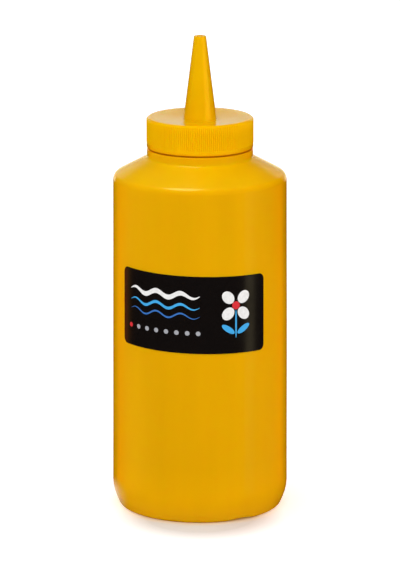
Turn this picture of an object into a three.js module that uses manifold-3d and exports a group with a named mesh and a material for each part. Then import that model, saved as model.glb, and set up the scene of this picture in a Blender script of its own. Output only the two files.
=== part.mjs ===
// A squeeze bottle for sauce: a round body, a ribbed screw cap with a pointed nozzle, and a wrapped label.
// Sizes are in millimetres. +Z is up, the origin is the middle of the foot, and the label faces -Y.
import * as THREE from "three";
import { mergeVertices } from "three/addons/utils/BufferGeometryUtils.js";
import Module from "manifold-3d";

const degree = Math.PI / 180;

// Bottle: wall, foot and heel
const heelRadius = 45.8;
const shoulderRadius = 45;
const footRadius = 40.9;
const footRingWidth = 6;
const footCornerRadius = 2;
const heelTaper = 23.7 * degree;
const heelRounding = 21;
const baseRise = 4;

// Bottle: the two notches where the moulded seam crosses the foot
const seamAngle = 36.5 * degree;
const notchWidth = 18;
const notchHeight = 1.4;

// Bottle: shoulder, collar and the neck inside the cap
const shoulderHeight = 185.2;
const shoulderSlope = 28.3 * degree;
const shoulderRounding = 4.2;
const collarRadius = 27.45;
const collarFillet = 1.2;
const collarTop = 189.6;
const collarEdge = 0.5;
const neckRadius = 25.8;
const neckTop = 202;
const neckChamfer = 0.6;

// Cap: skirt
const capBottom = 190.4;
const capTop = 206;
const capDish = 1.4;
const capBandRadius = 27.55;
const capBandHeight = 2.1;
const capEdge = 0.4;
const capRim = 1.1;
const socketClearance = 0.3;
const ribCount = 160;
const ribRoot = 27.2;
const ribCrest = 27.65;
const ribSink = 0.1;
const ribRingDepth = 0.5;

// Cap: nozzle
const nozzleFoot = capTop - capDish;
const nozzleTop = 248.2;
const nozzleBaseRadius = 8.55;
const nozzleTipRadius = 3.1;
const nozzleFillet = 0.4;
const nozzleTipEdge = 0.5;
const nozzleRoot = 1;
const orificeRadius = 1.5;
const orificeDepth = 14;

// Label: the flat size before it is wrapped, and where it sits
const labelWidth = 82.8;
const labelHeight = 40.5;
const labelCorner = 3;
const labelMiddle = 111.45;
const labelTilt = 1.36 * degree;
const labelGap = 0.15;
const labelThickness = 0.2;

// Fineness of the round surfaces
const turnSegments = 72;
const arcSteps = 2;
const nozzleSegments = 40;
const labelColumns = 20;
const labelCornerSteps = 4;

const wasm = await Module();
wasm.setup();

function solidFrom(geometry) {
  const bare = geometry.clone();
  bare.deleteAttribute("normal");
  bare.deleteAttribute("uv");
  const merged = mergeVertices(bare);
  return new wasm.Manifold(
    new wasm.Mesh({
      numProp: 3,
      vertProperties: new Float32Array(merged.attributes.position.array),
      triVerts: new Uint32Array(merged.index.array),
    }),
  );
}

function geometryFrom(solid) {
  const mesh = solid.getMesh();
  const geometry = new THREE.BufferGeometry();
  geometry.setAttribute("position", new THREE.BufferAttribute(mesh.vertProperties, 3));
  geometry.setIndex(new THREE.BufferAttribute(mesh.triVerts, 1));
  geometry.computeVertexNormals();
  return geometry;
}

// A profile of radius and height, turned about the Z axis.
function turned(profile, segments) {
  const geometry = new THREE.LatheGeometry(profile.getPoints(arcSteps), segments);
  return solidFrom(geometry.rotateX(Math.PI / 2));
}

// The height where the heel's rounding meets the wall.
function heelHeight() {
  const taperStart = footRadius + footCornerRadius * Math.cos(heelTaper);
  const taperEnd = heelRadius - heelRounding * (1 - Math.cos(heelTaper));
  const taperFoot = footCornerRadius * (1 - Math.sin(heelTaper));
  const taperRise = (taperEnd - taperStart) / Math.tan(heelTaper);
  return taperFoot + taperRise + heelRounding * Math.sin(heelTaper);
}

// The height where the wall meets the shoulder's rounded edge.
function edgeHeight() {
  const slopeEnd = shoulderRadius - shoulderRounding * (1 - Math.sin(shoulderSlope));
  const slopeEndHeight = shoulderHeight - (slopeEnd - collarRadius) * Math.tan(shoulderSlope);
  return slopeEndHeight - shoulderRounding * Math.cos(shoulderSlope);
}

// The wall's radius at a height. It narrows a little from the heel to the shoulder.
function wallRadius(height) {
  const share = (height - heelHeight()) / (edgeHeight() - heelHeight());
  return heelRadius + share * (shoulderRadius - heelRadius);
}

// The hollow under the base, the foot ring and its corner, the tapered heel and its rounding up to the wall.
function drawFoot(profile) {
  const innerRadius = footRadius - footRingWidth;
  const domeRadius = (innerRadius ** 2 + baseRise ** 2) / (2 * baseRise);
  const domeAngle = Math.asin(innerRadius / domeRadius);
  const upright = Math.PI / 2;
  profile.moveTo(0, baseRise);
  profile.absarc(0, baseRise - domeRadius, domeRadius, upright, upright - domeAngle, true);
  profile.lineTo(footRadius, 0);
  profile.absarc(footRadius, footCornerRadius, footCornerRadius, -upright, -heelTaper, false);
  profile.absarc(heelRadius - heelRounding, heelHeight(), heelRounding, -heelTaper, 0, false);
}

// The shoulder's rounded edge, its slope, the fillet into the collar, and the neck up to its rim.
function drawShoulder(profile) {
  const level = Math.PI / 2 - shoulderSlope;
  profile.absarc(shoulderRadius - shoulderRounding, edgeHeight(), shoulderRounding, 0, level, false);

  const filletRise = collarFillet / Math.cos(shoulderSlope) - collarFillet * Math.tan(shoulderSlope);
  const filletCentre = collarRadius + collarFillet;
  profile.absarc(filletCentre, shoulderHeight + filletRise, collarFillet, Math.PI + level, Math.PI, true);

  profile.absarc(collarRadius - collarEdge, collarTop - collarEdge, collarEdge, 0, Math.PI / 2, false);
  profile.lineTo(neckRadius, collarTop);
  profile.lineTo(neckRadius, neckTop - neckChamfer);
  profile.lineTo(neckRadius - neckChamfer, neckTop);
  profile.lineTo(0, neckTop);
}

// A round bar laid under the foot along the seam. Its top cuts a low arch through the foot ring at both ends.
function seamCutter() {
  const barRadius = ((notchWidth / 2) ** 2 + notchHeight ** 2) / (2 * notchHeight);
  const bar = new THREE.CylinderGeometry(barRadius, barRadius, 3 * heelRadius, 2 * turnSegments);
  bar.rotateZ(seamAngle);
  bar.translate(0, 0, notchHeight - barRadius);
  return solidFrom(bar);
}

function bottleSolid() {
  const profile = new THREE.Path();
  drawFoot(profile);
  drawShoulder(profile);
  return turned(profile, turnSegments).subtract(seamCutter());
}

// The socket over the neck, the plain band, the wall under the ribs, the rim and the dished top.
function skirtSolid() {
  const socketRadius = neckRadius + socketClearance;
  const bandTop = capBottom + capBandHeight;
  const profile = new THREE.Path();
  profile.moveTo(0, neckTop);
  profile.lineTo(socketRadius, neckTop);
  profile.lineTo(socketRadius, capBottom);
  profile.absarc(capBandRadius - capEdge, capBottom + capEdge, capEdge, -Math.PI / 2, 0, false);
  profile.lineTo(capBandRadius, bandTop);
  profile.lineTo(ribRoot, bandTop);
  profile.absarc(ribRoot - capRim, capTop - capRim, capRim, 0, Math.PI / 2, false);
  profile.lineTo(nozzleBaseRadius, nozzleFoot);
  profile.lineTo(0, nozzleFoot);
  return turned(profile, turnSegments);
}

// The nozzle, rooted in the cap's top: the fillet at its foot, its cone, the round tip and the hole there.
function nozzleSolid() {
  const lean = Math.atan((nozzleBaseRadius - nozzleTipRadius) / (nozzleTop - nozzleFoot));
  const filletCentre = nozzleBaseRadius + nozzleFillet * Math.tan(Math.PI / 4 - lean / 2);
  const tipCentre = nozzleTipRadius - nozzleTipEdge * Math.tan(Math.PI / 4 - lean / 2);
  const profile = new THREE.Path();
  profile.moveTo(0, nozzleFoot - nozzleRoot);
  profile.lineTo(filletCentre, nozzleFoot - nozzleRoot);
  profile.absarc(filletCentre, nozzleFoot + nozzleFillet, nozzleFillet, 1.5 * Math.PI, Math.PI + lean, true);
  profile.absarc(tipCentre, nozzleTop - nozzleTipEdge, nozzleTipEdge, lean, Math.PI / 2, false);
  profile.lineTo(orificeRadius, nozzleTop);
  profile.lineTo(orificeRadius, nozzleTop - orificeDepth);
  profile.lineTo(0, nozzleTop - orificeDepth);
  return turned(profile, nozzleSegments);
}

// A ring of upright grip ribs that runs from the plain band to the rim.
function ribRing() {
  const bottom = capBottom + capBandHeight - ribSink;
  const top = capTop - capRim;
  const outline = [];
  for (let step = 0; step < 2 * ribCount; step += 1) {
    const radius = step % 2 ? ribRoot - ribSink : ribCrest;
    const angle = (step * Math.PI) / ribCount;
    outline.push(new THREE.Vector2(radius * Math.cos(angle), radius * Math.sin(angle)));
  }
  const shape = new THREE.Shape(outline);
  const hole = new THREE.Path();
  hole.absarc(0, 0, ribRoot - ribRingDepth, 0, 2 * Math.PI, true);
  shape.holes.push(hole);
  const settings = { depth: top - bottom, bevelEnabled: false, curveSegments: turnSegments / 2 };
  return solidFrom(new THREE.ExtrudeGeometry(shape, settings).translate(0, 0, bottom));
}

function capSolid() {
  return skirtSolid().add(ribRing()).add(nozzleSolid());
}

// Places along the label's width where its height is worked out: close together in the corners, then even.
function labelStations() {
  const insetRight = labelWidth / 2 - labelCorner;
  const stations = [];
  for (let step = 0; step <= labelColumns; step += 1) {
    stations.push(insetRight * (step / labelColumns) * 2 - insetRight);
  }
  for (let step = 1; step <= labelCornerSteps; step += 1) {
    const reach = insetRight + labelCorner * Math.sin((step / labelCornerSteps) * (Math.PI / 2));
    stations.push(reach);
    stations.unshift(-reach);
  }
  return stations;
}

// Half of the label's height at a place along its width: full, and less in the round corners.
function labelHalfHeight(along) {
  const intoCorner = Math.max(0, Math.abs(along) - (labelWidth / 2 - labelCorner));
  const lost = labelCorner - Math.sqrt(Math.max(0, labelCorner ** 2 - intoCorner ** 2));
  return labelHeight / 2 - lost;
}

// A thin box with a column for each station, wrapped round the wall and turned a little as it was stuck on.
function labelSolid() {
  const stations = labelStations();
  const columns = stations.length - 1;
  const box = new THREE.BoxGeometry(columns, 2, labelThickness, columns, 1, 1);
  const corner = new THREE.Vector3();
  const position = box.attributes.position;
  for (let index = 0; index < position.count; index += 1) {
    corner.fromBufferAttribute(position, index);
    const along = stations[Math.round(corner.x + columns / 2)];
    const height = labelMiddle + corner.y * labelHalfHeight(along) - along * Math.tan(labelTilt);
    const radius = wallRadius(height) + labelGap + labelThickness / 2 + corner.z;
    const angle = along / wallRadius(labelMiddle);
    position.setXYZ(index, radius * Math.sin(angle), -radius * Math.cos(angle), height);
  }
  return solidFrom(box);
}

function part(name, solid, material) {
  const mesh = new THREE.Mesh(geometryFrom(solid), material);
  mesh.name = name;
  return mesh;
}

const bottlePlastic = new THREE.MeshStandardMaterial({ color: 0xe2a302, roughness: 0.4, metalness: 0 });
const capPlastic = new THREE.MeshStandardMaterial({ color: 0xe9ab05, roughness: 0.35, metalness: 0 });
const labelFilm = new THREE.MeshStandardMaterial({ color: 0x15100f, roughness: 0.3, metalness: 0 });

const squeezeBottle = new THREE.Group();
squeezeBottle.add(part("bottle", bottleSolid(), bottlePlastic));
squeezeBottle.add(part("cap", capSolid(), capPlastic));
squeezeBottle.add(part("label", labelSolid(), labelFilm));

export default squeezeBottle;
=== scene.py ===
# A mustard-yellow squeeze bottle: a blown body, a ribbed cap with a pointed nozzle, and a printed label.
# Lengths are in metres. +Z is up, the origin is the middle of the foot, and the label faces -Y.
import math

import bpy
import numpy as np
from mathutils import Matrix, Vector


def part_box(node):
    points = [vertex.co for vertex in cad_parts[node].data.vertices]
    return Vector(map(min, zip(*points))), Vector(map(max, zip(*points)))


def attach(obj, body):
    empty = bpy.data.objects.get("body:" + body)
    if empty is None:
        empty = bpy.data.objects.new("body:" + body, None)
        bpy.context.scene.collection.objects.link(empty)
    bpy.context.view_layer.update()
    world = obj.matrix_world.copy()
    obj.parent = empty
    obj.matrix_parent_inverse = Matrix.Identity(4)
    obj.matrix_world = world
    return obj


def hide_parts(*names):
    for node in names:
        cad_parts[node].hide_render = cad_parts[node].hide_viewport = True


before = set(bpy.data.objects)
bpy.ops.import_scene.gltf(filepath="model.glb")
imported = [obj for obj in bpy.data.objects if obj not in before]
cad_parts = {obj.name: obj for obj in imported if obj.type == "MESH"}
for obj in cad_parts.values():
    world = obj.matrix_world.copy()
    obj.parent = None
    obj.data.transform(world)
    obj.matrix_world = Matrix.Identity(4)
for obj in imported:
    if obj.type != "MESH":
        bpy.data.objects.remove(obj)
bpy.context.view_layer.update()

MM = 0.001
UPRIGHT = math.pi / 2

bottle_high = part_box("bottle")[1]
cap_low, cap_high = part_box("cap")

# Bottle
HEEL_RADIUS = bottle_high.x
SHOULDER_RADIUS = 45 * MM
FOOT_RADIUS = 40.9 * MM
FOOT_RING_WIDTH = 6 * MM
FOOT_CORNER = 2 * MM
HEEL_TAPER = math.radians(23.7)
HEEL_ROUNDING = 21 * MM
BASE_RISE = 4 * MM
SEAM_ANGLE = math.radians(36.5)
NOTCH_WIDTH = 18 * MM
NOTCH_HEIGHT = 1.4 * MM
NOTCH_SOFTNESS = 0.25 * MM
SHOULDER_HEIGHT = 185.2 * MM
SHOULDER_SLOPE = math.radians(28.3)
SHOULDER_ROUNDING = 4.2 * MM
COLLAR_RADIUS = 27.45 * MM
COLLAR_FILLET = 1.2 * MM
COLLAR_TOP = 189.6 * MM
COLLAR_EDGE = 0.5 * MM
NECK_RADIUS = 25.8 * MM
NECK_TOP = bottle_high.z
NECK_CHAMFER = 0.6 * MM

# Bottle: the uneven blown wall, the parting line and the pinch line under the base
WALL_WAVE = 0.1 * MM
WALL_WAVE_TURN = 1.1
WALL_WAVE_RISE = 19 * MM
WALL_WAVE_TWIST = 31 * MM
WALL_WAVE_FADE = 4  # the power by which it fades towards the collar
PARTING_RIDGE = 0.06 * MM
PARTING_WIDTH = 1.6 * MM
PARTING_START = 14 * MM
PINCH_RIDGE = 0.5 * MM
PINCH_WIDTH = 0.7 * MM
PINCH_LENGTH = 54 * MM

# Cap
CAP_BOTTOM = cap_low.z
CAP_TOP = 206 * MM
CAP_DISH = 1.4 * MM
CAP_BAND_RADIUS = 27.55 * MM
CAP_BAND_HEIGHT = 2.1 * MM
CAP_EDGE = 0.4 * MM
CAP_RIM = 1.1 * MM
SOCKET_RADIUS = NECK_RADIUS + 0.3 * MM
RIB_COUNT = 160
RIB_CREST = cap_high.x
RIB_ROOT = 27.2 * MM
RIB_RUNOUT = 0.7 * MM
GROOVE_SHARPNESS = 3
NOZZLE_FOOT = CAP_TOP - CAP_DISH
NOZZLE_TOP = cap_high.z
NOZZLE_BASE_RADIUS = 8.55 * MM
NOZZLE_TIP_RADIUS = 3.1 * MM
NOZZLE_FILLET = 0.4 * MM
NOZZLE_TIP_EDGE = 0.5 * MM
ORIFICE_RADIUS = 1.5 * MM
ORIFICE_EDGE = 0.25 * MM
ORIFICE_DEPTH = 14 * MM

# Label
LABEL_WIDTH = 82.8 * MM
LABEL_HEIGHT = 40.5 * MM
LABEL_CORNER = 3 * MM
LABEL_MIDDLE = 111.45 * MM
LABEL_TILT = math.radians(1.36)
LABEL_SINK = 0.15 * MM
LABEL_PROUD = 0.22 * MM
LABEL_CHAMFER = 0.1 * MM

# Print: three waves over a row of dots on the left, and a flower on the right, from the label's middle
PRINT_PROUD = LABEL_PROUD + 0.03 * MM
WAVE_START = -35 * MM
WAVE_END = 5 * MM
WAVE_SWING = 1.3 * MM
WAVE_LENGTH = 13.4 * MM
WAVE_TIP = 0.15  # share of the width that is left at the ends
WHITE_WAVE_HEIGHT = 10 * MM
WHITE_WAVE_WIDTH = 2.6 * MM
SKY_WAVE_HEIGHT = 4.2 * MM
SKY_WAVE_WIDTH = 1.5 * MM
BLUE_WAVE_HEIGHT = -0.6 * MM
BLUE_WAVE_WIDTH = 0.9 * MM
DOT_COUNT = 8
DOT_SPACING = 5.6 * MM
DOT_HEIGHT = -9.5 * MM
DOT_SIZE = 2.4 * MM
FLOWER_ALONG = 24 * MM
FLOWER_HEIGHT = 5 * MM
FLOWER_EYE = 4.2 * MM
PETAL_REACH = 6 * MM
PETAL_LENGTH = 7.4 * MM
PETAL_WIDTH = 5.8 * MM
STEM_FOOT = -12 * MM
STEM_TOP = FLOWER_HEIGHT - 2.4 * MM
STEM_WIDTH = 0.9 * MM
LEAF_ASIDE = 4.2 * MM
LEAF_RISE = 4.6 * MM
LEAF_LENGTH = 8 * MM
LEAF_WIDTH = 3 * MM
LEAF_TURN = math.radians(34)

# Fineness of the meshes
BODY_SEGMENTS = 288
SEAM_SAMPLES = 3
SAMPLES_PER_RIB = 6
BODY_ROW_SPACING = 3 * MM
CAP_ROW_SPACING = 4 * MM
ARC_STEP = math.radians(8)
LABEL_STEP = 0.8 * MM
LABEL_CORNER_STEPS = 10
LABEL_CORNER_TURN = 0.49 * math.pi  # just short of a quarter turn, so the label's ends keep a height
OVAL_STEPS = 28
OVAL_TIP = 0.06  # the angle left off at each tip
WAVE_STEPS = 112
CARD_COLUMNS = 24
DISC_SIDES = 90
SHARP_ANGLE = math.radians(50)

# The plastic's colour at heights up the object, with painted light and shade in it: painted floor light
# makes it lightest at the foot, a painted highlight tone makes the shoulder's slope more yellow and
# lightens the collar's fillet, and painted shade reddens it where collar and cap meet
BOTTLE_COLOURS_AND_PAINTED_LIGHT = (
    (0, (0.88, 0.455, 0.004)),
    (10 * MM, (0.81, 0.415, 0)),
    (30 * MM, (0.75, 0.385, 0)),
    (174 * MM, (0.75, 0.385, 0)),
    (177 * MM, (0.74, 0.412, 0)),
    (183.5 * MM, (0.74, 0.41, 0)),
    (185.5 * MM, (0.8, 0.45, 0)),
    (187 * MM, (0.8, 0.41, 0)),
    (189.4 * MM, (0.8, 0.41, 0)),
    (189.8 * MM, (0.75, 0.27, 0)),
)
# The cap's stops hold painted shade too: red low down in the gap over the collar, and a darker rim against
# its highlight
CAP_COLOURS_AND_PAINTED_LIGHT = (
    (190.4 * MM, (0.8, 0.3, 0)),
    (191.4 * MM, (0.8, 0.415, 0)),
    (203 * MM, (0.78, 0.41, 0)),
    (206 * MM, (0.76, 0.42, 0)),
    (212 * MM, (0.7, 0.388, 0)),
)

# Inks of the print
INKS = {
    "white": (0.8, 0.8, 0.79),
    "sky": (0.04, 0.38, 0.78),
    "blue": (0.03, 0.16, 0.52),
    "grey": (0.36, 0.37, 0.4),
    "red": (0.68, 0.02, 0.03),
}

# Plastic: streaks, patches of sheen, a wavy skin and a fine grain, with scales in grains a metre
STREAK_SCALE = 60
STREAK_SHADE = (0.95, 0.95, 0.95)
SHEEN_SCALE = 90
SHEEN_SMOOTHER = 0.04
SHEEN_ROUGHER = 0.01
SKIN_SCALE = 160
SKIN_DEPTH = 0.02 * MM
GRAIN_SCALE = 1500
BOTTLE_ROUGHNESS = 0.21
BOTTLE_STREAK_STRETCH = 0.12
BOTTLE_GRAIN_DEPTH = 0.004 * MM
CAP_ROUGHNESS = 0.18
CAP_STREAK_STRETCH = 0.5
CAP_GRAIN_DEPTH = 0.002 * MM
MIRROR_TINT = (1, 0.85, 0.15, 1)
PLASTIC_IOR = 1.5
INSIDE_LIGHT_SHARE = 0.6
INSIDE_LIGHT_REACH = 3 * MM
INSIDE_LIGHT_COLOURS = (1.0, 0.35, 0.03)

# Film: specks, patches of sheen, a ripple and a fine texture, with scales in grains a metre
FILM_BLACK = (0.006, 0.004, 0.0035)
FILM_ROUGHNESS = 0.22
INK_ROUGHNESS = 0.3
SPECK_SCALE = 700
SPECK_DARK = 0.9
SPECK_LIGHT = 1.08
FILM_SHEEN_SCALE = 120
FILM_SMOOTHER = 0.03
FILM_ROUGHER = 0.05
RIPPLE_SCALE = 90
RIPPLE_DEPTH = 0.03 * MM
TEXTURE_SCALE = 2200
TEXTURE_DEPTH = 0.002 * MM

# Noise stays mostly between these values
NOISE_LOW = 0.3
NOISE_HIGH = 0.7

# Camera: the photograph's view
IMAGE_HEIGHT = 570
PIXELS_PER_METRE = 1919
CAMERA_DISTANCE = 2.0
CAMERA_AZIMUTH = math.radians(6.5)
CAMERA_ELEVATION = math.radians(13.35)
CAMERA_TARGET = Vector((0, 0, 116.65 * MM))
SENSOR = 36

# Light on matt surfaces: an even white dome, the floor's bounce, and soft lights that miss the floor
DOME = 1.0
FLOOR_RADIUS = 6
FLOOR_ROUGHNESS = 0.9
FLOOR_PAPER = 0.95
LIGHT_DISTANCE = 1.3
LIGHT_SIZE = 0.4
KEY_PLACE = (-48, 48)  # azimuth from the camera's side and elevation, in degrees
KEY_POWER = 4.0
FILL_PLACE = (55, 40)
FILL_POWER = 3.6
CAP_PLACE = (3, 32)
CAP_POWER = 7.0

# The floor's own glow, as the camera sees it, begins a little way from the foot
GLOW_FORWARD = 30 * MM
GLOW_START = 28 * MM
GLOW_FULL = 45 * MM
GLOW_STRENGTH = 0.44

# The bright floor at the foot's left, which the heel mirrors
HEEL_GLOW_AWAY = 50 * MM
HEEL_GLOW_SIDE = -105  # azimuth in degrees
HEEL_GLOW_RADIUS = 31 * MM
HEEL_GLOW_LEVEL = -0.2 * MM
HEEL_GLOW_STRENGTH = 1.05

# The yellow light that the foot throws on the floor beside it, painted as a glow and as a warmer paper
# colour
WARM_END = 47 * MM
PAINTED_BOUNCE_GLOW = (0.2, 0.08, 0)
PAINTED_BOUNCE_PAPER = (0.95, 0.88, 0.75)

# Cards round the bottle: distances from the axis, and the azimuths in degrees and colours that some share
BACK_DISTANCE = 0.9
BACK_SPAN = (150, 210)
SIDE_DISTANCE = 0.6
WINDOW_SPAN = (38, 85)
WINDOW_HEIGHTS = (0.16, 0.5)
CAP_PANEL_DISTANCE = 0.1
PANEL_RED = (1, 0.05, 0)
SIDE_RED = (1, 0.12, 0)
CAP_BACK_WHITE = (1, 1.12, 1.05)
CEILING_MIDDLE = (-0.29, 0.14, 1.42)
CEILING_SIZE = (0.5, 0.75)


def arc(centre, radius, start, end):
    """Points of an arc in the plane of radius and height, from one angle to another."""
    steps = max(2, math.ceil(abs(end - start) / ARC_STEP))
    turns = np.linspace(start, end, steps + 1)
    return [(centre[0] + radius * math.cos(t), centre[1] + radius * math.sin(t)) for t in turns]


def with_rows(corners, spacing):
    """The same outline with extra points on its straight runs, no further apart than the spacing."""
    points = [corners[0]]
    for end in corners[1:]:
        start = points[-1]
        steps = max(1, math.ceil(math.dist(start, end) / spacing))
        for step in range(1, steps + 1):
            share = step / steps
            points.append((start[0] + share * (end[0] - start[0]), start[1] + share * (end[1] - start[1])))
    return points


def mesh_object(name, vertices, faces):
    """A smooth mesh that keeps its sharp corners."""
    mesh = bpy.data.meshes.new(name)
    mesh.from_pydata(np.asarray(vertices).tolist(), [], faces)
    mesh.shade_smooth()
    mesh.set_sharp_from_angle(angle=SHARP_ANGLE)
    piece = bpy.data.objects.new(name, mesh)
    bpy.context.scene.collection.objects.link(piece)
    return piece


def turned(name, profile, angles, shape):
    """A closed outline turned about the Z axis. Its first and last points lie on the axis.

    shape(radius, height, angle) gives the surface's own radius and height there.
    """
    rows = np.array(profile[1:-1])
    radius, angle = np.meshgrid(rows[:, 0], angles, indexing="ij")
    height = np.repeat(rows[:, 1:], len(angles), axis=1)
    radius, height = shape(radius, height, angle)
    ring = np.stack([radius * np.sin(angle), -radius * np.cos(angle), height], axis=-1)
    ends = [[0, 0, profile[0][1]], [0, 0, profile[-1][1]]]
    vertices = np.concatenate([ring.reshape(-1, 3), ends])

    across = len(angles)
    last = len(vertices) - 1
    top_row = (len(rows) - 1) * across
    faces = []
    for column in range(across):
        beside = (column + 1) % across
        faces.append((last - 1, beside, column))
        faces.append((last, top_row + column, top_row + beside))
        for start in range(0, top_row, across):
            above = start + across
            faces.append((start + column, start + beside, above + beside, above + column))
    return mesh_object(name, vertices, faces)


def heel_height():
    """Where the heel's rounding meets the wall."""
    taper_start = FOOT_RADIUS + FOOT_CORNER * math.cos(HEEL_TAPER)
    taper_end = HEEL_RADIUS - HEEL_ROUNDING * (1 - math.cos(HEEL_TAPER))
    taper_foot = FOOT_CORNER * (1 - math.sin(HEEL_TAPER))
    taper_rise = (taper_end - taper_start) / math.tan(HEEL_TAPER)
    return taper_foot + taper_rise + HEEL_ROUNDING * math.sin(HEEL_TAPER)


def edge_height():
    """Where the wall meets the shoulder's rounded edge."""
    slope_end = SHOULDER_RADIUS - SHOULDER_ROUNDING * (1 - math.sin(SHOULDER_SLOPE))
    slope_end_height = SHOULDER_HEIGHT - (slope_end - COLLAR_RADIUS) * math.tan(SHOULDER_SLOPE)
    return slope_end_height - SHOULDER_ROUNDING * math.cos(SHOULDER_SLOPE)


def wall_radius(height):
    """The wall's radius at a height. It narrows a little from the heel to the shoulder."""
    share = (height - heel_height()) / (edge_height() - heel_height())
    return HEEL_RADIUS + share * (SHOULDER_RADIUS - HEEL_RADIUS)


def foot_outline():
    """From the middle of the base out over the foot ring and up the round heel to the wall."""
    inner = FOOT_RADIUS - FOOT_RING_WIDTH
    dome = (inner**2 + BASE_RISE**2) / (2 * BASE_RISE)
    dome_angle = math.asin(inner / dome)
    return (
        arc((0, BASE_RISE - dome), dome, UPRIGHT, UPRIGHT - dome_angle)
        + arc((FOOT_RADIUS, FOOT_CORNER), FOOT_CORNER, -UPRIGHT, -HEEL_TAPER)
        + arc((HEEL_RADIUS - HEEL_ROUNDING, heel_height()), HEEL_ROUNDING, -HEEL_TAPER, 0)
    )


def shoulder_outline():
    """From the top of the wall over the shoulder and up the collar and neck to the middle of its rim."""
    level = UPRIGHT - SHOULDER_SLOPE
    fillet_rise = COLLAR_FILLET / math.cos(SHOULDER_SLOPE) - COLLAR_FILLET * math.tan(SHOULDER_SLOPE)
    fillet_centre = (COLLAR_RADIUS + COLLAR_FILLET, SHOULDER_HEIGHT + fillet_rise)
    edge_centre = (COLLAR_RADIUS - COLLAR_EDGE, COLLAR_TOP - COLLAR_EDGE)
    return (
        arc((SHOULDER_RADIUS - SHOULDER_ROUNDING, edge_height()), SHOULDER_ROUNDING, 0, level)
        + arc(fillet_centre, COLLAR_FILLET, math.pi + level, math.pi)
        + arc(edge_centre, COLLAR_EDGE, 0, UPRIGHT)
        + [
            (NECK_RADIUS, COLLAR_TOP),
            (NECK_RADIUS, NECK_TOP - NECK_CHAMFER),
            (NECK_RADIUS - NECK_CHAMFER, NECK_TOP),
            (0, NECK_TOP),
        ]
    )


def seam_angles():
    """Evenly spaced angles, with more where the two halves of the mould met."""
    even = np.linspace(0, 2 * math.pi, BODY_SEGMENTS, endpoint=False)
    near = np.arange(-SEAM_SAMPLES, SEAM_SAMPLES + 1) * PARTING_WIDTH / HEEL_RADIUS
    seams = [(SEAM_ANGLE + half + near) % (2 * math.pi) for half in (0, math.pi)]
    return np.unique(np.round(np.concatenate([even, *seams]), 6))


def blown_shape(radius, height, angle):
    """The small unevenness of a blown wall, the parting line, and the foot's notches and pinch line."""
    outward = np.clip((radius - COLLAR_RADIUS) / (SHOULDER_RADIUS - COLLAR_RADIUS), 0, 1)
    swell = np.sin(2 * angle + WALL_WAVE_TURN) * np.sin(height / WALL_WAVE_RISE)
    twist = np.sin(3 * angle + height / WALL_WAVE_TWIST)
    dent = WALL_WAVE * outward**WALL_WAVE_FADE * (2 - (swell + twist)) / 4

    along = radius * np.cos(angle - SEAM_ANGLE)
    aside = radius * np.sin(angle - SEAM_ANGLE)
    outside = (height > PARTING_START) & (height < COLLAR_TOP)
    ridge = np.where(outside, PARTING_RIDGE * np.exp(-((aside / PARTING_WIDTH) ** 2)), 0)

    inside_foot = (height < 2 * BASE_RISE) & (radius < FOOT_RADIUS - FOOT_RING_WIDTH)
    pinch = np.exp(-((aside / PINCH_WIDTH) ** 2)) * (np.abs(along) < PINCH_LENGTH / 2)
    height = height - np.where(inside_foot, PINCH_RIDGE * pinch, 0)

    bar = ((NOTCH_WIDTH / 2) ** 2 + NOTCH_HEIGHT**2) / (2 * NOTCH_HEIGHT)
    arch = NOTCH_HEIGHT - bar + np.sqrt(np.maximum(bar**2 - aside**2, 0))
    over = np.maximum(NOTCH_SOFTNESS - np.abs(height - arch), 0) ** 2 / (4 * NOTCH_SOFTNESS)
    notched = np.maximum(height, arch) + np.where(arch > 0, over, 0)
    height = np.where(height < 2 * NOTCH_HEIGHT, notched, height)
    return radius - dent + ridge, height


def make_bottle():
    profile = with_rows(foot_outline() + shoulder_outline(), BODY_ROW_SPACING)
    return turned("bottle_body", profile, seam_angles(), blown_shape)


def cap_outline():
    """From the socket's roof down its wall, up the skirt, over the top and up the nozzle into its hole."""
    lean = math.atan((NOZZLE_BASE_RADIUS - NOZZLE_TIP_RADIUS) / (NOZZLE_TOP - NOZZLE_FOOT))
    slant = math.tan(math.pi / 4 - lean / 2)
    fillet = (NOZZLE_BASE_RADIUS + NOZZLE_FILLET * slant, NOZZLE_FOOT + NOZZLE_FILLET)
    tip = (NOZZLE_TIP_RADIUS - NOZZLE_TIP_EDGE * slant, NOZZLE_TOP - NOZZLE_TIP_EDGE)
    hole_edge = (ORIFICE_RADIUS + ORIFICE_EDGE, NOZZLE_TOP - ORIFICE_EDGE)
    band_top = CAP_BOTTOM + CAP_BAND_HEIGHT
    return (
        [(0, NECK_TOP), (SOCKET_RADIUS, NECK_TOP), (SOCKET_RADIUS, CAP_BOTTOM)]
        + arc((CAP_BAND_RADIUS - CAP_EDGE, CAP_BOTTOM + CAP_EDGE), CAP_EDGE, -UPRIGHT, 0)
        + [(CAP_BAND_RADIUS, band_top), (RIB_ROOT, band_top + RIB_RUNOUT)]
        + arc((RIB_ROOT - CAP_RIM, CAP_TOP - CAP_RIM), CAP_RIM, 0, UPRIGHT)
        + arc(fillet, NOZZLE_FILLET, 1.5 * math.pi, math.pi + lean)
        + arc(tip, NOZZLE_TIP_EDGE, lean, UPRIGHT)
        + arc(hole_edge, ORIFICE_EDGE, UPRIGHT, math.pi)
        + [(ORIFICE_RADIUS, NOZZLE_TOP - ORIFICE_DEPTH), (0, NOZZLE_TOP - ORIFICE_DEPTH)]
    )


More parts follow.
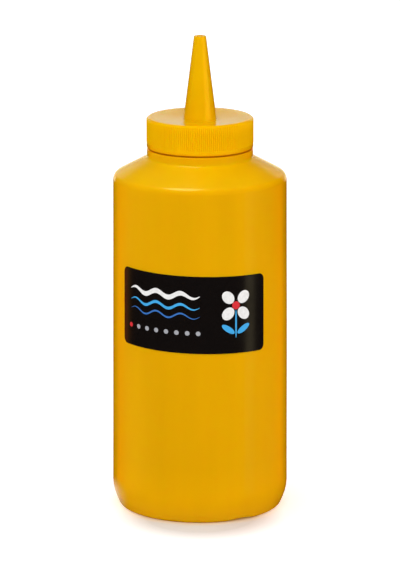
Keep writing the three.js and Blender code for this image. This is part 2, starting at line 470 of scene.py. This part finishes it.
def ribbed_shape(radius, height, angle):
    """Upright grip ribs between the plain band and the rim, run out softly at both ends."""
    bottom = CAP_BOTTOM + CAP_BAND_HEIGHT
    top = CAP_TOP - CAP_RIM
    into = np.minimum(height - bottom, top + RIB_RUNOUT - height) / RIB_RUNOUT
    strength = np.where(radius > SOCKET_RADIUS, np.clip(into, 0, 1), 0)
    groove = ((1 - np.cos(RIB_COUNT * angle)) / 2) ** GROOVE_SHARPNESS
    return radius + (RIB_CREST - RIB_ROOT) * strength * (1 - groove), height


def make_cap():
    angles = np.linspace(0, 2 * math.pi, RIB_COUNT * SAMPLES_PER_RIB, endpoint=False)
    return turned("cap_with_nozzle", with_rows(cap_outline(), CAP_ROW_SPACING), angles, ribbed_shape)


def on_wall(along, height, lift):
    """A place on the label, given along and up from its middle, at a lift above the bottle's wall."""
    level = LABEL_MIDDLE + height - along * math.tan(LABEL_TILT)
    angle = along / wall_radius(LABEL_MIDDLE)
    radius = wall_radius(level) + lift
    return np.stack([radius * np.sin(angle), -radius * np.cos(angle), level], axis=-1)


def strip_solid(along, lower, upper, bottom, top, chamfer=0.0):
    """Vertices and faces of a thin closed strip on the wall, between a lower and an upper edge line."""
    middle = (along[0] + along[-1]) / 2
    spread = (along - middle) * (1 + 2 * chamfer / (along[-1] - along[0])) + middle
    rings = [
        on_wall(along, lower, top),
        on_wall(along, upper, top),
        on_wall(spread, upper + chamfer, bottom),
        on_wall(spread, lower - chamfer, bottom),
    ]
    count = len(along)
    faces = []
    for line in range(len(rings)):
        first = line * count
        second = (line + 1) % len(rings) * count
        for step in range(count - 1):
            faces.append((first + step, first + step + 1, second + step + 1, second + step))
    faces.append((0, count, 2 * count, 3 * count))
    faces.append((4 * count - 1, 3 * count - 1, 2 * count - 1, count - 1))
    return np.concatenate(rings), faces


def make_label():
    half_width = LABEL_WIDTH / 2 - LABEL_CHAMFER
    straight = half_width - LABEL_CORNER
    even = np.arange(-straight, straight, LABEL_STEP)
    round_end = straight + LABEL_CORNER * np.sin(np.linspace(0, LABEL_CORNER_TURN, LABEL_CORNER_STEPS))
    along = np.concatenate([-round_end[::-1], even[1:], round_end])
    into = np.maximum(np.abs(along) - straight, 0)
    lost = LABEL_CORNER - np.sqrt(LABEL_CORNER**2 - into**2)
    half_height = LABEL_HEIGHT / 2 - LABEL_CHAMFER - lost
    vertices, faces = strip_solid(along, -half_height, half_height, -LABEL_SINK, LABEL_PROUD, LABEL_CHAMFER)
    return mesh_object("label_film", vertices, faces)


def span(start, end):
    """Places along an oval, closer together towards its two tips."""
    share = (1 - np.cos(np.linspace(OVAL_TIP, math.pi - OVAL_TIP, OVAL_STEPS))) / 2
    return start + (end - start) * share


def printed_oval(along, height, length, width, turn=0.0):
    """An oval of a length and width, with its length turned up from level."""
    long_half = length / 2
    wide_half = width / 2
    reach = (long_half * math.cos(turn)) ** 2 + (wide_half * math.sin(turn)) ** 2
    offset = span(-math.sqrt(reach), math.sqrt(reach))
    lean = (long_half**2 - wide_half**2) * math.sin(turn) * math.cos(turn) * offset
    swell = long_half * wide_half * np.sqrt(reach - offset**2)
    return along + offset, height + (lean - swell) / reach, height + (lean + swell) / reach


def printed_wave(height, width):
    """A wavy line that thins out towards both ends."""
    places = np.linspace(WAVE_START, WAVE_END, WAVE_STEPS)
    middle = height + WAVE_SWING * np.sin(2 * math.pi * (places - WAVE_START) / WAVE_LENGTH)
    ends = np.clip(np.minimum(places - WAVE_START, WAVE_END - places) / WAVE_LENGTH, 0, 1)
    half = width / 2 * (WAVE_TIP + (1 - WAVE_TIP) * np.sin(ends * UPRIGHT))
    return places, middle - half, middle + half


def printed_dots():
    """A row of dots under the waves."""
    places = [WAVE_START + step * DOT_SPACING for step in range(DOT_COUNT)]
    return [printed_oval(place, DOT_HEIGHT, DOT_SIZE, DOT_SIZE) for place in places]


def printed_petals():
    """Four petals aslant round the flower's eye."""
    petals = []
    for quarter in range(4):
        turn = math.pi / 4 + quarter * UPRIGHT
        along = FLOWER_ALONG + PETAL_REACH * math.cos(turn)
        height = FLOWER_HEIGHT + PETAL_REACH * math.sin(turn)
        petals.append(printed_oval(along, height, PETAL_LENGTH, PETAL_WIDTH, turn))
    return petals


def printed_stem():
    """The flower's upright stem and a leaf on either side of it."""
    length = STEM_TOP - STEM_FOOT
    shapes = [printed_oval(FLOWER_ALONG, STEM_FOOT + length / 2, length, STEM_WIDTH, UPRIGHT)]
    for side in (-1, 1):
        along = FLOWER_ALONG + side * LEAF_ASIDE
        shapes.append(printed_oval(along, STEM_FOOT + LEAF_RISE, LEAF_LENGTH, LEAF_WIDTH, side * LEAF_TURN))
    return shapes


def label_print():
    """The shapes of the label's generic design, by their ink."""
    first_dot, *other_dots = printed_dots()
    eye = printed_oval(FLOWER_ALONG, FLOWER_HEIGHT, FLOWER_EYE, FLOWER_EYE)
    return {
        "white": [printed_wave(WHITE_WAVE_HEIGHT, WHITE_WAVE_WIDTH), *printed_petals()],
        "sky": [printed_wave(SKY_WAVE_HEIGHT, SKY_WAVE_WIDTH), *printed_stem()],
        "blue": [printed_wave(BLUE_WAVE_HEIGHT, BLUE_WAVE_WIDTH)],
        "grey": other_dots,
        "red": [eye, first_dot],
    }


def make_print():
    """One thin piece for each colour of ink."""
    pieces = {}
    for colour, shapes in label_print().items():
        vertices = []
        faces = []
        for shape in shapes:
            start = sum(len(block) for block in vertices)
            block, sides = strip_solid(*shape, bottom=0.0, top=PRINT_PROUD)
            vertices.append(block)
            faces += [tuple(start + corner for corner in side) for side in sides]
        pieces[colour] = mesh_object("print_" + colour, np.concatenate(vertices), faces)
    return pieces


def new_material(name):
    material = bpy.data.materials.new(name)
    material.use_nodes = True
    return material, material.node_tree.nodes, material.node_tree.links


def noise(tree, scale, detail, stretch=(1, 1, 1)):
    """Noise in the object's own space. Its scale is in grains a metre."""
    nodes, links = tree
    place = nodes.new("ShaderNodeTexCoord")
    mapping = nodes.new("ShaderNodeMapping")
    mapping.inputs["Scale"].default_value = stretch
    texture = nodes.new("ShaderNodeTexNoise")
    texture.inputs["Scale"].default_value = scale
    texture.inputs["Detail"].default_value = detail
    links.new(place.outputs["Object"], mapping.inputs["Vector"])
    links.new(mapping.outputs["Vector"], texture.inputs["Vector"])
    return texture.outputs["Fac"]


def between(tree, factor, low, high):
    """Maps noise, which stays near the middle of its range, to values from low to high."""
    nodes, links = tree
    spread = nodes.new("ShaderNodeMapRange")
    spread.inputs["From Min"].default_value = NOISE_LOW
    spread.inputs["From Max"].default_value = NOISE_HIGH
    spread.inputs["To Min"].default_value = low
    spread.inputs["To Max"].default_value = high
    links.new(factor, spread.inputs["Value"])
    return spread.outputs["Result"]


def tint(tree, factor, first, second):
    """A colour between two, by a factor from 0 to 1."""
    nodes, links = tree
    mix = nodes.new("ShaderNodeMix")
    mix.data_type = "RGBA"
    mix.inputs["A"].default_value = (*first, 1)
    mix.inputs["B"].default_value = (*second, 1)
    links.new(factor, mix.inputs["Factor"])
    return mix.outputs["Result"]


def bump(tree, height, distance, under=None):
    """A fine relief, on top of another one where that is given."""
    nodes, links = tree
    node = nodes.new("ShaderNodeBump")
    node.inputs["Distance"].default_value = distance
    links.new(height, node.inputs["Height"])
    if under is not None:
        links.new(under, node.inputs["Normal"])
    return node.outputs["Normal"]


def by_height(tree, colour_and_light_stops):
    """A colour that changes smoothly with height, from a list of heights and colours, which here carry
    painted light and shade as well as the plastic's own colour.
    """
    nodes, links = tree
    place = nodes.new("ShaderNodeTexCoord")
    split = nodes.new("ShaderNodeSeparateXYZ")
    share = nodes.new("ShaderNodeMapRange")
    share.inputs["From Max"].default_value = NOZZLE_TOP
    ramp = nodes.new("ShaderNodeValToRGB")
    links.new(place.outputs["Object"], split.inputs["Vector"])
    links.new(split.outputs["Z"], share.inputs["Value"])
    links.new(share.outputs["Result"], ramp.inputs["Fac"])
    while len(ramp.color_ramp.elements) < len(colour_and_light_stops):
        ramp.color_ramp.elements.new(1)
    for stop, (height, colour) in zip(ramp.color_ramp.elements, colour_and_light_stops):
        stop.position = height / NOZZLE_TOP
        stop.color = (*colour, 1)
    return ramp.outputs["Color"]


def yellow_plastic(name, colour_and_light_stops, roughness, streak_stretch, grain_depth):
    """Pigmented polyethylene: soft light inside, faint upright flow streaks and a fine uneven skin, and
    painted light and shade in its colour by height.
    """
    material, nodes, links = new_material(name)
    tree = (nodes, links)
    shader = nodes["Principled BSDF"]
    streak = between(tree, noise(tree, STREAK_SCALE, detail=3, stretch=(1, 1, streak_stretch)), 0, 1)
    flow = nodes.new("ShaderNodeMix")
    flow.data_type = "RGBA"
    flow.blend_type = "MULTIPLY"
    flow.inputs["Factor"].default_value = 1
    # The colour by height carries painted light and shade as well as the pigment
    links.new(by_height(tree, colour_and_light_stops), flow.inputs["A"])
    links.new(tint(tree, streak, STREAK_SHADE, (1, 1, 1)), flow.inputs["B"])
    links.new(flow.outputs["Result"], shader.inputs["Base Color"])
    sheen = noise(tree, SHEEN_SCALE, detail=4)
    dullness = between(tree, sheen, roughness - SHEEN_SMOOTHER, roughness + SHEEN_ROUGHER)
    links.new(dullness, shader.inputs["Roughness"])
    broad = bump(tree, noise(tree, SKIN_SCALE, detail=2), SKIN_DEPTH)
    fine = bump(tree, noise(tree, GRAIN_SCALE, detail=3), grain_depth, broad)
    links.new(fine, shader.inputs["Normal"])
    shader.inputs["IOR"].default_value = PLASTIC_IOR
    shader.inputs["Specular Tint"].default_value = MIRROR_TINT
    shader.inputs["Subsurface Weight"].default_value = INSIDE_LIGHT_SHARE
    shader.inputs["Subsurface Radius"].default_value = INSIDE_LIGHT_COLOURS
    shader.inputs["Subsurface Scale"].default_value = INSIDE_LIGHT_REACH
    return material


def bottle_plastic():
    return yellow_plastic(
        "bottle plastic", BOTTLE_COLOURS_AND_PAINTED_LIGHT, BOTTLE_ROUGHNESS, BOTTLE_STREAK_STRETCH, BOTTLE_GRAIN_DEPTH
    )


def cap_plastic():
    return yellow_plastic("cap plastic", CAP_COLOURS_AND_PAINTED_LIGHT, CAP_ROUGHNESS, CAP_STREAK_STRETCH, CAP_GRAIN_DEPTH)


def film(name, colour, roughness):
    """Smooth printed film with a faint ripple where it lies on the wall."""
    material, nodes, links = new_material(name)
    tree = (nodes, links)
    shader = nodes["Principled BSDF"]
    speck = noise(tree, SPECK_SCALE, detail=4)
    dark = tuple(SPECK_DARK * value for value in colour)
    light = tuple(min(1, SPECK_LIGHT * value) for value in colour)
    links.new(tint(tree, between(tree, speck, 0, 1), dark, light), shader.inputs["Base Color"])
    sheen = noise(tree, FILM_SHEEN_SCALE, detail=3)
    dullness = between(tree, sheen, roughness - FILM_SMOOTHER, roughness + FILM_ROUGHER)
    links.new(dullness, shader.inputs["Roughness"])
    ripple = bump(tree, noise(tree, RIPPLE_SCALE, detail=2), RIPPLE_DEPTH)
    texture = bump(tree, noise(tree, TEXTURE_SCALE, detail=2), TEXTURE_DEPTH, ripple)
    links.new(texture, shader.inputs["Normal"])
    return material


def dress(piece, material):
    piece.data.materials.append(material)
    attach(piece, "root")


def make_object():
    """Builds all pieces and returns them, the bottle and the cap first."""
    bottle = make_bottle()
    cap = make_cap()
    label = make_label()
    prints = make_print()
    dress(bottle, bottle_plastic())
    dress(cap, cap_plastic())
    dress(label, film("label film", FILM_BLACK, FILM_ROUGHNESS))
    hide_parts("bottle")
    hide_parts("cap")
    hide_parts("label")
    for colour, piece in prints.items():
        dress(piece, film(colour + " ink", INKS[colour], INK_ROUGHNESS))
    return [bottle, cap, label, *prints.values()]


def direction(azimuth, elevation):
    """A direction from the bottle, with azimuth in degrees from the camera's side towards its right."""
    turn = CAMERA_AZIMUTH + math.radians(azimuth)
    rise = math.radians(elevation)
    return Vector((math.sin(turn) * math.cos(rise), -math.cos(turn) * math.cos(rise), math.sin(rise)))


def aim(thing, place, target):
    thing.location = place
    thing.rotation_euler = (target - place).to_track_quat("-Z", "Y").to_euler()


def make_camera():
    """The photograph's view. The sensor's width spans the picture's longer side, its height."""
    lens = bpy.data.cameras.new("camera")
    lens.sensor_width = SENSOR
    lens.lens = SENSOR * PIXELS_PER_METRE * CAMERA_DISTANCE / IMAGE_HEIGHT
    camera = bpy.data.objects.new("camera", lens)
    view = direction(0, math.degrees(CAMERA_ELEVATION))
    aim(camera, CAMERA_TARGET + CAMERA_DISTANCE * view, CAMERA_TARGET)
    bpy.context.scene.collection.objects.link(camera)
    bpy.context.scene.camera = camera


def soft_light(name, place, power, lit):
    """A soft light at an azimuth and elevation, on the lit pieces alone and not in their reflections."""
    lamp = bpy.data.lights.new(name, "AREA")
    lamp.size = LIGHT_SIZE
    lamp.energy = power
    light = bpy.data.objects.new(name, lamp)
    aim(light, CAMERA_TARGET + LIGHT_DISTANCE * direction(*place), CAMERA_TARGET)
    bpy.context.scene.collection.objects.link(light)
    light.visible_camera = False
    light.visible_glossy = False
    light.light_linking.receiver_collection = lit


def group(name, pieces):
    """A collection of pieces that a light or a card is meant for."""
    collection = bpy.data.collections.new(name)
    for piece in pieces:
        collection.objects.link(piece)
    return collection


def glow(name, colour, strength):
    material, nodes, links = new_material(name)
    nodes.remove(nodes["Principled BSDF"])
    light = nodes.new("ShaderNodeEmission")
    light.inputs["Color"].default_value = (*colour, 1)
    light.inputs["Strength"].default_value = strength
    links.new(light.outputs["Emission"], nodes["Material Output"].inputs["Surface"])
    return material


def stage_card(name, corners, faces, material):
    """A card that is no part of the object."""
    card = mesh_object(name, corners, faces)
    card.data.materials.append(material)
    return card


def only_in_reflections(card):
    card.visible_camera = False
    card.visible_diffuse = False
    card.visible_shadow = False
    card.visible_transmission = False


def bent_card(name, distance, azimuths, heights, colour, strength):
    """A glowing upright card, bent round the bottle between two azimuths in degrees and two heights."""
    corners = []
    for level in heights:
        for turn in np.linspace(*azimuths, CARD_COLUMNS + 1):
            place = distance * direction(turn, 0)
            corners.append((place.x, place.y, level))
    above = CARD_COLUMNS + 1
    faces = [(step, step + 1, above + step + 1, above + step) for step in range(CARD_COLUMNS)]
    return stage_card(name, corners, faces, glow(name, colour, strength))


def warm_panel(name, distance, azimuths, heights, strength):
    """A bent card that reddens matt surfaces and doesn't show in reflections."""
    panel = bent_card(name, distance, azimuths, heights, PANEL_RED, strength)
    panel.visible_camera = False
    panel.visible_glossy = False
    panel.visible_transmission = False


def curved_card(name, distance, azimuths, heights, colour, strength, seen_by=None):
    """A bent card that shows only in reflections.

    seen_by lists the pieces that mirror it, where not all of them do.
    """
    card = bent_card(name, distance, azimuths, heights, colour, strength)
    only_in_reflections(card)
    if seen_by:
        card.light_linking.receiver_collection = group(name, seen_by)


def ceiling_card(name, middle, size, colour, strength, seen_by):
    """A glowing card, level above the bottle, that shows only in some pieces' reflections.

    middle is how far its middle is to the camera's right, towards the camera and up.
    """
    right, forward, height = middle
    width, depth = size
    corners = []
    for side, end in ((-1, -1), (1, -1), (1, 1), (-1, 1)):
        aside = (right + side * width / 2) * direction(90, 0)
        ahead = (forward + end * depth / 2) * direction(0, 0)
        place = aside + ahead
        corners.append((place.x, place.y, height))
    card = stage_card(name, corners, [(0, 1, 2, 3)], glow(name, colour, strength))
    only_in_reflections(card)
    card.light_linking.receiver_collection = group(name, seen_by)


def floor_disc(name, radius, level, material):
    """A level disc round the bottle's axis."""
    rim = [radius * direction(turn, 0) for turn in np.linspace(0, 360, DISC_SIDES, endpoint=False)]
    corners = [(place.x, place.y, level) for place in rim]
    return stage_card(name, corners, [tuple(range(DISC_SIDES))], material)


def by_distance(tree, middle, start, end):
    """A share that changes from 0 to 1 between two distances from a point."""
    nodes, links = tree
    place = nodes.new("ShaderNodeTexCoord")
    away = nodes.new("ShaderNodeVectorMath")
    away.operation = "DISTANCE"
    away.inputs[1].default_value = middle
    links.new(place.outputs["Object"], away.inputs[0])
    share = nodes.new("ShaderNodeMapRange")
    share.inputs["From Min"].default_value = start
    share.inputs["From Max"].default_value = end
    links.new(away.outputs["Value"], share.inputs["Value"])
    return share.outputs["Result"]


def floor_white():
    """White paper with the foot's yellow bounce painted beside it, in its colour and as a glow, and a
    painted glow, seen by the camera alone, that brings it to pure white a little way from the foot.
    """
    material, nodes, links = new_material("floor")
    shader = nodes["Principled BSDF"]
    shader.inputs["Roughness"].default_value = FLOOR_ROUGHNESS
    tree = (nodes, links)
    # Painted bounce light: the paper turns warm and glows yellow towards the foot
    painted_bounce_share = by_distance(tree, (0, 0, 0), WARM_END, FOOT_RADIUS)
    paper = tint(tree, painted_bounce_share, [FLOOR_PAPER] * 3, PAINTED_BOUNCE_PAPER)
    links.new(paper, shader.inputs["Base Color"])

    glowing = nodes.new("ShaderNodeMix")
    glowing.data_type = "RGBA"
    glowing.blend_type = "ADD"
    glowing.inputs["Factor"].default_value = 1
    white_share = by_distance(tree, GLOW_FORWARD * direction(0, 0), GLOW_START, GLOW_FULL)
    links.new(tint(tree, white_share, (0, 0, 0), [GLOW_STRENGTH] * 3), glowing.inputs["A"])
    links.new(tint(tree, painted_bounce_share, (0, 0, 0), PAINTED_BOUNCE_GLOW), glowing.inputs["B"])
    links.new(glowing.outputs["Result"], shader.inputs["Emission Color"])
    ray = nodes.new("ShaderNodeLightPath")
    links.new(ray.outputs["Is Camera Ray"], shader.inputs["Emission Strength"])
    return material


def make_floor():
    floor = floor_disc("floor", FLOOR_RADIUS, 0, floor_white())
    floor.visible_glossy = False


def make_floor_glow():
    """The white floor at the foot's left, as the heel mirrors it."""
    material = glow("floor glow", (1, 1, 1), 1)
    nodes = material.node_tree.nodes
    links = material.node_tree.links
    tree = (nodes, links)
    share = by_distance(tree, HEEL_GLOW_AWAY * direction(HEEL_GLOW_SIDE, 0), HEEL_GLOW_RADIUS, 0)
    colour = tint(tree, share, (0, 0, 0), [HEEL_GLOW_STRENGTH] * 3)
    links.new(colour, nodes["Emission"].inputs["Color"])
    disc = floor_disc("floor glow", HEEL_GLOW_AWAY + HEEL_GLOW_RADIUS, HEEL_GLOW_LEVEL, material)
    only_in_reflections(disc)


def make_world():
    """An even white dome that the camera and matt surfaces see and that doesn't show in reflections."""
    world = bpy.data.worlds.new("studio")
    bpy.context.scene.world = world
    world.use_nodes = True
    sky = world.node_tree.nodes["Background"]
    sky.inputs["Color"].default_value = (1, 1, 1, 1)
    sky.inputs["Strength"].default_value = DOME
    world.cycles_visibility.glossy = False


def make_lights(below_cap, cap):
    """Soft lights from the front, one on the cap alone, and warm panels that redden the sides."""
    lit = group("below the cap", below_cap)
    soft_light("key", KEY_PLACE, KEY_POWER, lit)
    soft_light("fill", FILL_PLACE, FILL_POWER, lit)
    soft_light("cap light", CAP_PLACE, CAP_POWER, group("cap alone", [cap]))
    warm_panel("warm panel right", SIDE_DISTANCE, (108, 152), (0.03, 0.9), 0.65)
    warm_panel("warm panel at the cap", CAP_PANEL_DISTANCE, (62, 122), (0.18, 0.208), 0.4)
    warm_panel("warm panel left", SIDE_DISTANCE, (208, 252), (0.03, 0.2), 0.75)


def make_reflections(bottle, cap):
    """What the glossy plastic mirrors: a white back, warm dark sides and a few soft bands of light."""
    curved_card("bottle back", BACK_DISTANCE, BACK_SPAN, (0.037, 0.53), (1, 1, 0.75), 1.5, [bottle])
    curved_card("bottle back top", BACK_DISTANCE, BACK_SPAN, (0.53, 0.63), (1, 1, 1), 0.35, [bottle])
    curved_card("cap back", BACK_DISTANCE, BACK_SPAN, (0.16, 0.5), CAP_BACK_WHITE, 1.12, [cap])
    curved_card("cap back top", BACK_DISTANCE, BACK_SPAN, (0.5, 0.65), CAP_BACK_WHITE, 0.9, [cap])
    curved_card("warm right", SIDE_DISTANCE, (110, 138), (-0.5, 0.08), SIDE_RED, 1.1, [bottle])
    curved_card("warm left", SIDE_DISTANCE, (222, 250), (-0.5, 0.08), SIDE_RED, 1.1)
    curved_card("right strip", SIDE_DISTANCE, (60, 73), (-0.4, 0.16), (1, 0.85, 0.5), 0.64)
    curved_card("right glow in front", SIDE_DISTANCE, (44, 59), (-0.3, 0.16), (1, 0.5, 0), 1.1, [bottle])
    curved_card("right glow", SIDE_DISTANCE, (74, 102), (-0.22, 0.02), (1, 0.15, 0), 0.9, [bottle])
    curved_card("left glow", SIDE_DISTANCE, (-108, -72), (-0.45, -0.05), (1, 0.6, 0), 1.1, [bottle])
    curved_card("right window", SIDE_DISTANCE, WINDOW_SPAN, WINDOW_HEIGHTS, (1, 1, 0.3), 1, [bottle])
    curved_card("cap window", SIDE_DISTANCE, WINDOW_SPAN, WINDOW_HEIGHTS, (1, 0.6, 0.15), 3.4, [cap])
    curved_card("left strip", SIDE_DISTANCE, (-122, -102), (-0.4, 0.1), (1, 0.6, 0.1), 0.3)
    ceiling_card("top", CEILING_MIDDLE, CEILING_SIZE, (1, 1, 1.4), 6.5, [bottle])


bottle, cap, *flat_pieces = make_object()
make_camera()
make_floor()
make_floor_glow()
make_world()
make_lights([bottle, *flat_pieces], cap)
make_reflections(bottle, cap)
bpy.context.scene.view_settings.view_transform = "Standard"
